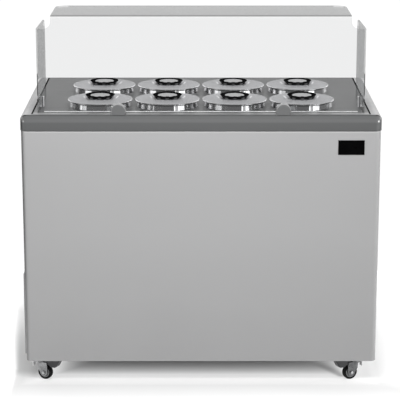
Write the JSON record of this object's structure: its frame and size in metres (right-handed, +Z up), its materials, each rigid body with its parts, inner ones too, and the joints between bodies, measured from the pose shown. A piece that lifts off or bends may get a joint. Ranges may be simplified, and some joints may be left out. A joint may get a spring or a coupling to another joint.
{
  "type": "ice cream display freezer",
  "caption": "Scooping freezer on casters: painted chest, grey counter with round wells, lift-out tubs, polished lids with black knobs, and a clear bent guard.",
  "frame": {"origin": "on the floor under the middle of the cabinet", "axes": "+Z up, +X to the customer's right, +Y away from the customer"},
  "size_m": [1.209, 0.694, 1.27],
  "materials": {
    "body_paint": "satin",
    "zinc_steel": "satin",
    "fork_steel": "satin",
    "insulation": "matte",
    "tank_steel": "satin",
    "copper": "satin",
    "frame_grey": "satin",
    "counter_grey": "satin",
    "collar_plastic": "matte",
    "tub_steel": "satin",
    "lid_chrome": "polished",
    "knob_black": "gloss",
    "clear_guard": "gloss",
    "post_steel": "polished",
    "black_plastic": "satin",
    "grille_grey": "satin",
    "machine_black": "satin",
    "tyre_black": "satin"
  },
  "bodies": {
    "cabinet": {"badge_plate": "black_plastic", "base_pan": "zinc_steel", "caster_bolts": "zinc_steel", "caster_plates": "zinc_steel", "compressor": "machine_black", "condenser_coil": "copper", "control_panel": "black_plastic", "cord_gland": "black_plastic", "evaporator_coil": "copper", "fan_motor": "zinc_steel", "fan_shroud": "machine_black", "guard_posts": "post_steel", "guard_screws": "black_plastic", "inner_tank": "tank_steel", "insulation_foam": "insulation", "outer_shell": "body_paint", "rear_panel": "body_paint", "refrigerant_lines": "copper", "side_grille": "grille_grey", "sneeze_guard": "clear_guard", "top_frame": "frame_grey", "top_plate": "counter_grey", "well_collars": "collar_plastic"},
    "tub_1": {"tub_1": "tub_steel"},
    "tub_2": {"tub_2": "tub_steel"},
    "tub_3": {"tub_3": "tub_steel"},
    "tub_4": {"tub_4": "tub_steel"},
    "tub_5": {"tub_5": "tub_steel"},
    "tub_6": {"tub_6": "tub_steel"},
    "tub_7": {"tub_7": "tub_steel"},
    "tub_8": {"tub_8": "tub_steel"},
    "lid_1": {"lid_1": "lid_chrome", "lid_knob_1": "knob_black"},
    "lid_2": {"lid_2": "lid_chrome", "lid_knob_2": "knob_black"},
    "lid_3": {"lid_3": "lid_chrome", "lid_knob_3": "knob_black"},
    "lid_4": {"lid_4": "lid_chrome", "lid_knob_4": "knob_black"},
    "lid_5": {"lid_5": "lid_chrome", "lid_knob_5": "knob_black"},
    "lid_6": {"lid_6": "lid_chrome", "lid_knob_6": "knob_black"},
    "lid_7": {"lid_7": "lid_chrome", "lid_knob_7": "knob_black"},
    "lid_8": {"lid_8": "lid_chrome", "lid_knob_8": "knob_black"},
    "fork_front_left": {"caster_fork_front_left": "fork_steel"},
    "wheel_front_left": {"caster_wheel_front_left": "tyre_black"},
    "fork_front_right": {"caster_fork_front_right": "fork_steel"},
    "wheel_front_right": {"caster_wheel_front_right": "tyre_black"},
    "fork_rear_left": {"caster_fork_rear_left": "fork_steel"},
    "wheel_rear_left": {"caster_wheel_rear_left": "tyre_black"},
    "fork_rear_right": {"caster_fork_rear_right": "fork_steel"},
    "wheel_rear_right": {"caster_wheel_rear_right": "tyre_black"},
    "brake_front_left": {"brake_pedal_front_left": "black_plastic"},
    "brake_front_right": {"brake_pedal_front_right": "black_plastic"},
    "fan": {"fan_blades": "black_plastic"},
    "switch": {"power_switch": "black_plastic"},
    "thermostat": {"thermostat_knob": "black_plastic"}
  },
  "joints": [
    {"name": "tub_1_lift", "type": "slide", "parent": "cabinet", "child": "tub_1", "axis": [0, 0, 1], "range_m": [0, 0.16]},
    {"name": "lid_1_lift", "type": "slide", "parent": "tub_1", "child": "lid_1", "axis": [0, 0, 1], "range_m": [0, 0.11]},
    {"name": "tub_2_lift", "type": "slide", "parent": "cabinet", "child": "tub_2", "axis": [0, 0, 1], "range_m": [0, 0.16]},
    {"name": "lid_2_lift", "type": "slide", "parent": "tub_2", "child": "lid_2", "axis": [0, 0, 1], "range_m": [0, 0.11]},
    {"name": "tub_3_lift", "type": "slide", "parent": "cabinet", "child": "tub_3", "axis": [0, 0, 1], "range_m": [0, 0.16]},
    {"name": "lid_3_lift", "type": "slide", "parent": "tub_3", "child": "lid_3", "axis": [0, 0, 1], "range_m": [0, 0.11]},
    {"name": "tub_4_lift", "type": "slide", "parent": "cabinet", "child": "tub_4", "axis": [0, 0, 1], "range_m": [0, 0.16]},
    {"name": "lid_4_lift", "type": "slide", "parent": "tub_4", "child": "lid_4", "axis": [0, 0, 1], "range_m": [0, 0.11]},
    {"name": "tub_5_lift", "type": "slide", "parent": "cabinet", "child": "tub_5", "axis": [0, 0, 1], "range_m": [0, 0.26]},
    {"name": "lid_5_lift", "type": "slide", "parent": "tub_5", "child": "lid_5", "axis": [0, 0, 1], "range_m": [0, 0.15]},
    {"name": "tub_6_lift", "type": "slide", "parent": "cabinet", "child": "tub_6", "axis": [0, 0, 1], "range_m": [0, 0.26]},
    {"name": "lid_6_lift", "type": "slide", "parent": "tub_6", "child": "lid_6", "axis": [0, 0, 1], "range_m": [0, 0.15]},
    {"name": "tub_7_lift", "type": "slide", "parent": "cabinet", "child": "tub_7", "axis": [0, 0, 1], "range_m": [0, 0.26]},
    {"name": "lid_7_lift", "type": "slide", "parent": "tub_7", "child": "lid_7", "axis": [0, 0, 1], "range_m": [0, 0.15]},
    {"name": "tub_8_lift", "type": "slide", "parent": "cabinet", "child": "tub_8", "axis": [0, 0, 1], "range_m": [0, 0.26]},
    {"name": "lid_8_lift", "type": "slide", "parent": "tub_8", "child": "lid_8", "axis": [0, 0, 1], "range_m": [0, 0.15]},
    {"name": "swivel_front_left", "type": "hinge", "parent": "cabinet", "child": "fork_front_left", "pos_m": [-0.557, -0.288, 0.065], "axis": [0, 0, 1], "continuous": true},
    {"name": "roll_front_left", "type": "hinge", "parent": "fork_front_left", "child": "wheel_front_left", "pos_m": [-0.53887, -0.29645, 0.026], "axis": [0.4226, 0.9063, 0], "continuous": true},
    {"name": "brake_front_left", "type": "hinge", "parent": "fork_front_left", "child": "brake_front_left", "pos_m": [-0.53344, -0.29899, 0.058], "axis": [0.4226, 0.9063, 0], "range_deg": [0, 11]},
    {"name": "swivel_front_right", "type": "hinge", "parent": "cabinet", "child": "fork_front_right", "pos_m": [0.534, -0.288, 0.065], "axis": [0, 0, 1], "continuous": true},
    {"name": "roll_front_right", "type": "hinge", "parent": "fork_front_right", "child": "wheel_front_right", "pos_m": [0.51587, -0.29645, 0.026], "axis": [0.4226, -0.9063, 0], "continuous": true},
    {"name": "brake_front_right", "type": "hinge", "parent": "fork_front_right", "child": "brake_front_right", "pos_m": [0.51044, -0.29899, 0.058], "axis": [0.4226, -0.9063, 0], "range_deg": [0, 11]},
    {"name": "swivel_rear_left", "type": "hinge", "parent": "cabinet", "child": "fork_rear_left", "pos_m": [-0.557, 0.288, 0.065], "axis": [0, 0, 1], "continuous": true},
    {"name": "roll_rear_left", "type": "hinge", "parent": "fork_rear_left", "child": "wheel_rear_left", "pos_m": [-0.54168, 0.30086, 0.026], "axis": [-0.6428, 0.766, 0], "continuous": true},
    {"name": "swivel_rear_right", "type": "hinge", "parent": "cabinet", "child": "fork_rear_right", "pos_m": [0.534, 0.288, 0.065], "axis": [0, 0, 1], "continuous": true},
    {"name": "roll_rear_right", "type": "hinge", "parent": "fork_rear_right", "child": "wheel_rear_right", "pos_m": [0.51587, 0.29645, 0.026], "axis": [-0.4226, -0.9063, 0], "continuous": true},
    {"name": "fan_spin", "type": "hinge", "parent": "cabinet", "child": "fan", "pos_m": [-0.505, -0.098, 0.232], "axis": [1, 0, 0], "continuous": true},
    {"name": "power_rocker", "type": "hinge", "parent": "cabinet", "child": "switch", "pos_m": [0.385, 0.324, 0.336], "axis": [1, 0, 0], "range_deg": [-7, 7]},
    {"name": "thermostat_turn", "type": "hinge", "parent": "cabinet", "child": "thermostat", "pos_m": [0.295, 0.327, 0.336], "axis": [0, 1, 0], "range_deg": [0, 270]}
  ]
}
